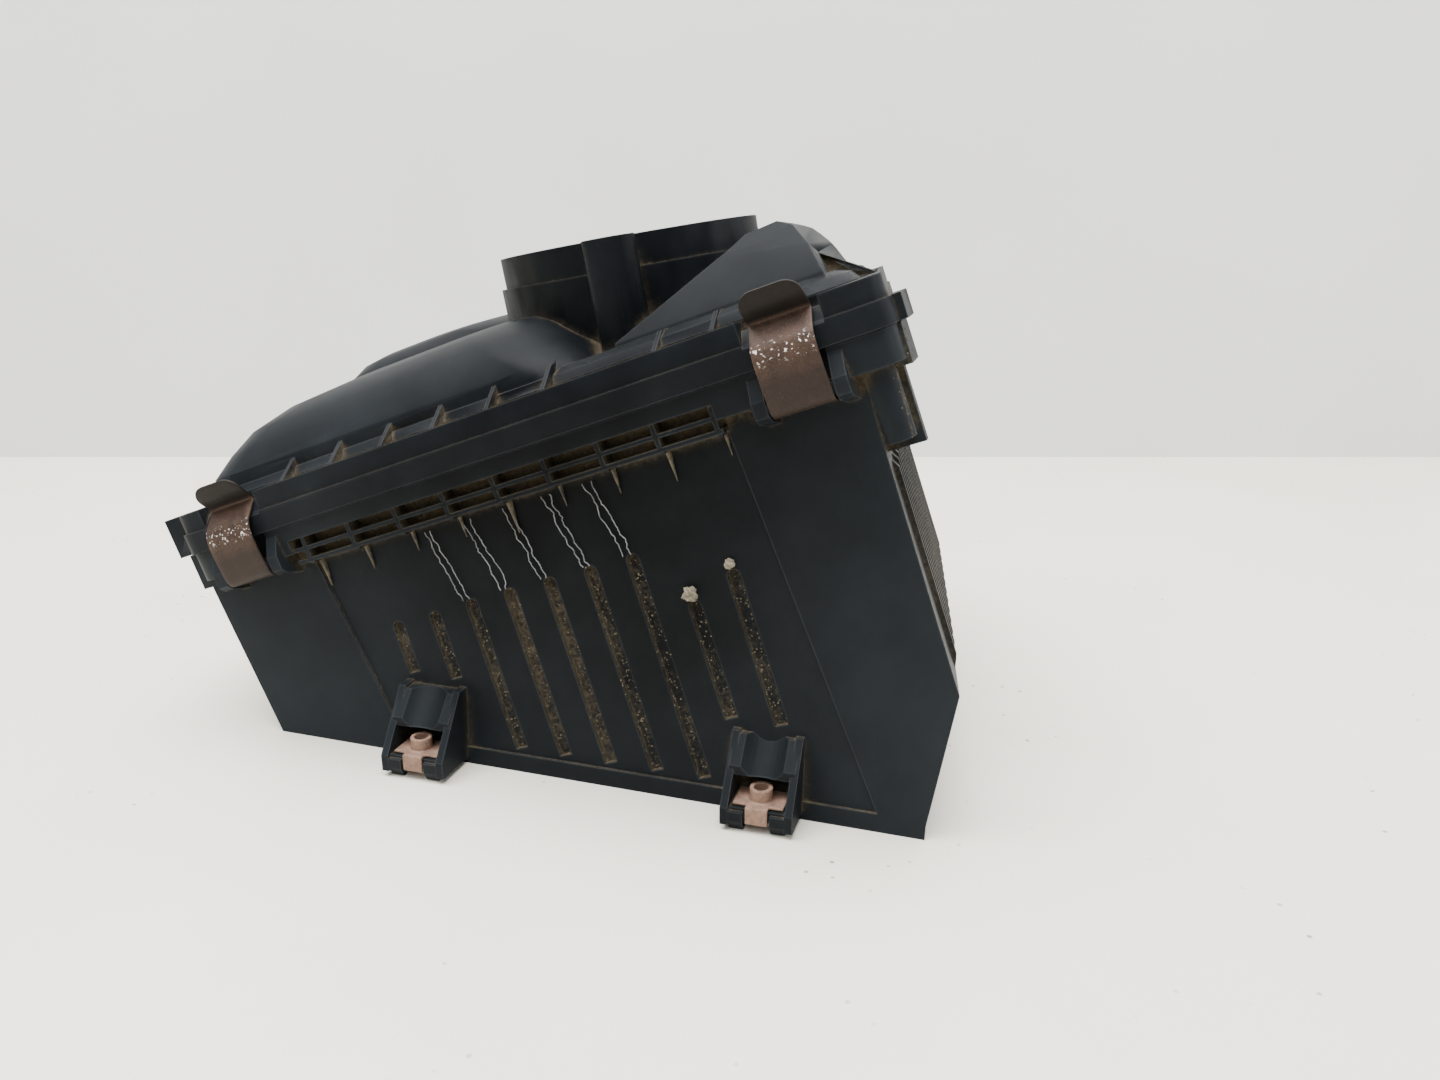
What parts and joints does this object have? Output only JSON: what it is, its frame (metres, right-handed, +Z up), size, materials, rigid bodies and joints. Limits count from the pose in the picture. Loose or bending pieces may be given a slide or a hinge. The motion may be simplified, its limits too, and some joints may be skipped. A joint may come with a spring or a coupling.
{
  "type": "air filter housing",
  "caption": "Wedge-shaped moulded air cleaner box with a sloping flange, domed cover, round outlet, sprung steel clips and a pleated panel filter.",
  "frame": {"origin": "centre of the whole box's footprint, on the floor under the flat bottom of the case", "axes": "+X along the long side towards the high end of the flange, +Y from the wall with the base lugs to the wall with the inlet spigot, +Z up"},
  "size_m": [0.3332, 0.255, 0.2123],
  "materials": {
    "case_plastic": "moulded black plastic, dull with use",
    "cover_plastic": "moulded black plastic, dull with use",
    "clip_steel": "thin spring steel with a brown film of rust",
    "nut_steel": "rusty spring steel",
    "insert_brass": "turned brass",
    "seal_rubber": "soft black rubber",
    "media_paper": "resin-dipped filter paper, greyed by dust",
    "filter_rim": "cast polyurethane",
    "strip_card": "plain card",
    "glue": "hot-melt glue"
  },
  "bodies": {
    "case": {"lower_case": "case_plastic", "clip_nut_left": "nut_steel", "clip_nut_right": "nut_steel", "inlet_seal": "seal_rubber"},
    "cover": {"upper_cover": "cover_plastic", "boss_insert_front": "insert_brass", "boss_insert_rear": "insert_brass"},
    "filter": {"filter_media": "media_paper", "filter_seal": "filter_rim", "filter_strip_front": "strip_card", "filter_strip_rear": "strip_card", "pleat_bead_1": "glue", "pleat_bead_2": "glue", "pleat_bead_3": "glue"},
    "clip_front_left": {"clip_front_left": "clip_steel"},
    "clip_front_right": {"clip_front_right": "clip_steel"},
    "clip_rear_left": {"clip_rear_left": "clip_steel"},
    "clip_rear_right": {"clip_rear_right": "clip_steel"}
  },
  "joints": [
    {"name": "cover_lift", "type": "slide", "parent": "case", "child": "cover", "axis": [-0.342, 0, 0.9397], "range_m": [0, 0.07]},
    {"name": "filter_lift", "type": "slide", "parent": "case", "child": "filter", "axis": [-0.342, 0, 0.9397], "range_m": [0, 0.035]},
    {"name": "clip_front_left_swing", "type": "hinge", "parent": "case", "child": "clip_front_left", "pos_m": [-0.11839, -0.1095, 0.07355], "axis": [0.9397, 0, 0.342], "range_deg": [0, 150]},
    {"name": "clip_front_right_swing", "type": "hinge", "parent": "case", "child": "clip_front_right", "pos_m": [0.1092, -0.1095, 0.15639], "axis": [0.9397, 0, 0.342], "range_deg": [0, 150]},
    {"name": "clip_rear_left_swing", "type": "hinge", "parent": "case", "child": "clip_rear_left", "pos_m": [-0.10571, 0.1055, 0.07817], "axis": [-0.9397, 0, -0.342], "range_deg": [0, 150]},
    {"name": "clip_rear_right_swing", "type": "hinge", "parent": "case", "child": "clip_rear_right", "pos_m": [0.08599, 0.1055, 0.14794], "axis": [-0.9397, 0, -0.342], "range_deg": [0, 150]}
  ],
  "couplings": [
    {"joint": "filter_lift", "follows": "cover_lift", "ratio": 0.5},
    {"joint": "clip_front_left_swing", "follows": "cover_lift", "rad_per_m": 37.39},
    {"joint": "clip_front_right_swing", "follows": "cover_lift", "rad_per_m": 37.39},
    {"joint": "clip_rear_left_swing", "follows": "cover_lift", "rad_per_m": 37.39},
    {"joint": "clip_rear_right_swing", "follows": "cover_lift", "rad_per_m": 37.39}
  ]
}
